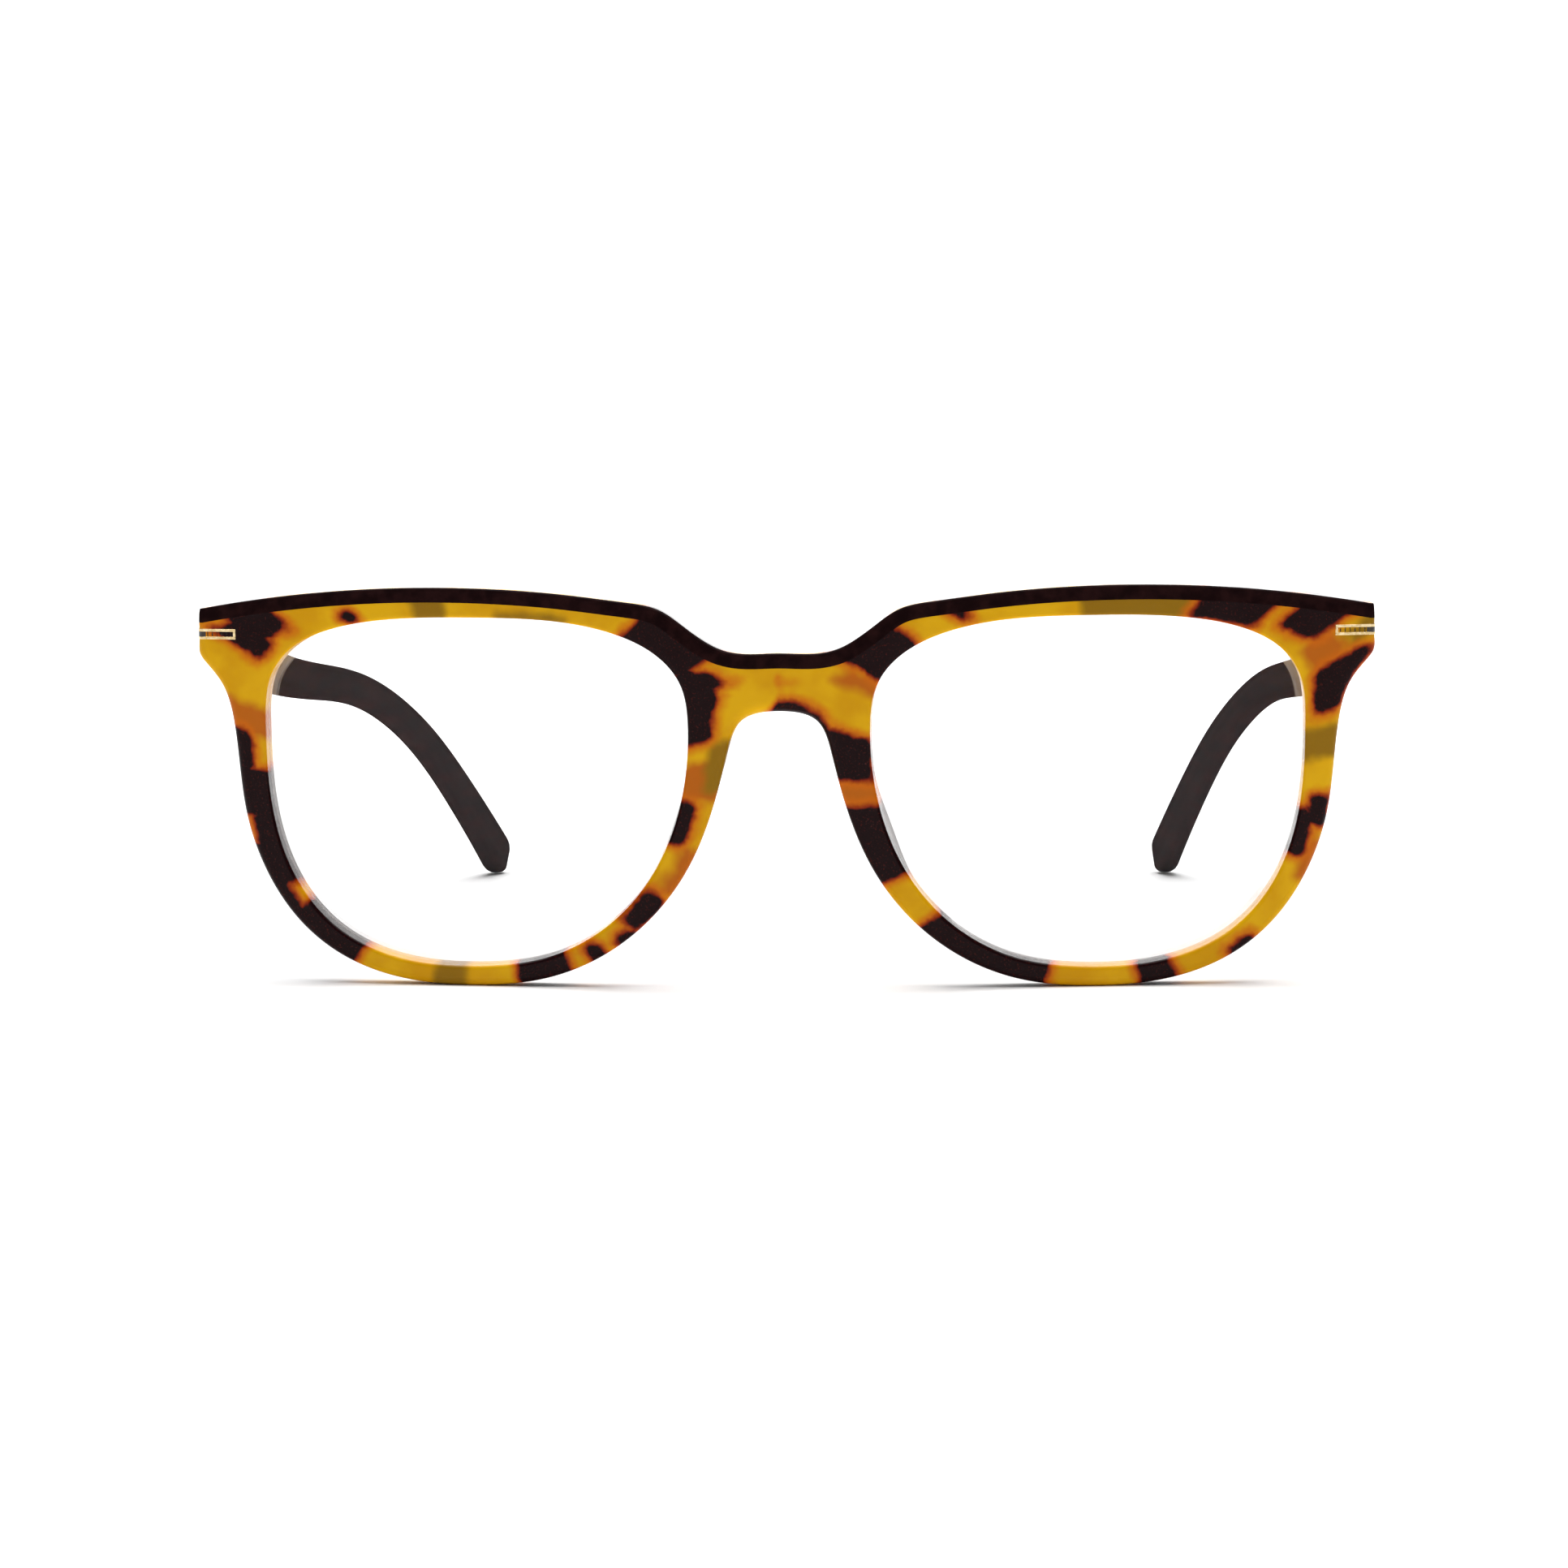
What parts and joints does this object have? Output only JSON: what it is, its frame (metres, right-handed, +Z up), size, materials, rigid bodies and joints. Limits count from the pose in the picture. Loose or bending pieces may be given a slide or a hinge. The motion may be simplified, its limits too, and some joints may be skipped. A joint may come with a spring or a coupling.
{
  "type": "reading glasses",
  "caption": "Full-rim plastic reading glasses with a tortoise front, a dark brow strip, gold corner trims and sprung folding temples.",
  "frame": {"origin": "under the middle of the whole object with the temples open, on the surface it stands on", "axes": "+Z up, the lenses face -Y, the temples run back towards +Y, +X is the wearer's left"},
  "size_m": [0.1402, 0.141, 0.0474],
  "materials": {
    "tortoise": "polished tortoise pattern, amber with dark brown patches",
    "dark_plastic": "polished very dark brown",
    "lens": "clear, polished",
    "gold": "polished gold colour",
    "enamel": "dark enamel",
    "hinge_metal": "bright nickel",
    "bush": "natural nylon",
    "spring_steel": "spring steel",
    "core_wire": "nickel silver wire"
  },
  "bodies": {
    "front": {"front_frame": "tortoise", "brow_strip": "dark_plastic", "left_lens": "lens", "left_corner_trim": "gold", "left_trim_inlay": "enamel", "left_front_hinge": "hinge_metal", "left_hinge_screw": "hinge_metal", "right_lens": "lens", "right_corner_trim": "gold", "right_trim_inlay": "enamel", "right_front_hinge": "hinge_metal", "right_hinge_screw": "hinge_metal"},
    "left_bush": {"left_hinge_bush": "bush"},
    "left_slider": {"left_spring_slider": "hinge_metal", "left_slider_nut": "hinge_metal", "left_hinge_spring": "spring_steel"},
    "left_temple": {"left_temple": "dark_plastic", "left_temple_core": "core_wire", "left_spring_housing": "hinge_metal", "left_lock_ring": "hinge_metal"},
    "right_bush": {"right_hinge_bush": "bush"},
    "right_slider": {"right_spring_slider": "hinge_metal", "right_slider_nut": "hinge_metal", "right_hinge_spring": "spring_steel"},
    "right_temple": {"right_temple": "dark_plastic", "right_temple_core": "core_wire", "right_spring_housing": "hinge_metal", "right_lock_ring": "hinge_metal"}
  },
  "joints": [
    {"name": "left_temple_flex", "type": "hinge", "parent": "front", "child": "left_bush", "pos_m": [0.064, -0.05455, 0.03937], "axis": [0, 0, -1], "range_deg": [0, 8], "stiffness_Nm_per_rad": 0.35, "springref_deg": -5.73},
    {"name": "left_temple_fold", "type": "hinge", "parent": "left_bush", "child": "left_slider", "pos_m": [0.064, -0.05455, 0.03937], "axis": [0, 0, 1], "range_deg": [0, 67]},
    {"name": "left_spring_stroke", "type": "slide", "parent": "left_slider", "child": "left_temple", "axis": [-0.076, 0.9741, -0.2128], "range_m": [0, 0.000826], "deforming": ["left_hinge_spring"]},
    {"name": "right_temple_flex", "type": "hinge", "parent": "front", "child": "right_bush", "pos_m": [-0.064, -0.05455, 0.03937], "axis": [0, 0, 1], "range_deg": [0, 8], "stiffness_Nm_per_rad": 0.35, "springref_deg": -5.73},
    {"name": "right_temple_fold", "type": "hinge", "parent": "right_bush", "child": "right_slider", "pos_m": [-0.064, -0.05455, 0.03937], "axis": [0, 0, -1], "range_deg": [0, 84]},
    {"name": "right_spring_stroke", "type": "slide", "parent": "right_slider", "child": "right_temple", "axis": [0.076, 0.9741, -0.2128], "range_m": [0, 0.000826], "deforming": ["right_hinge_spring"]}
  ],
  "couplings": [
    {"joint": "left_spring_stroke", "follows": "left_temple_flex", "m_per_rad": 0.0059},
    {"joint": "right_spring_stroke", "follows": "right_temple_flex", "m_per_rad": 0.0059}
  ]
}
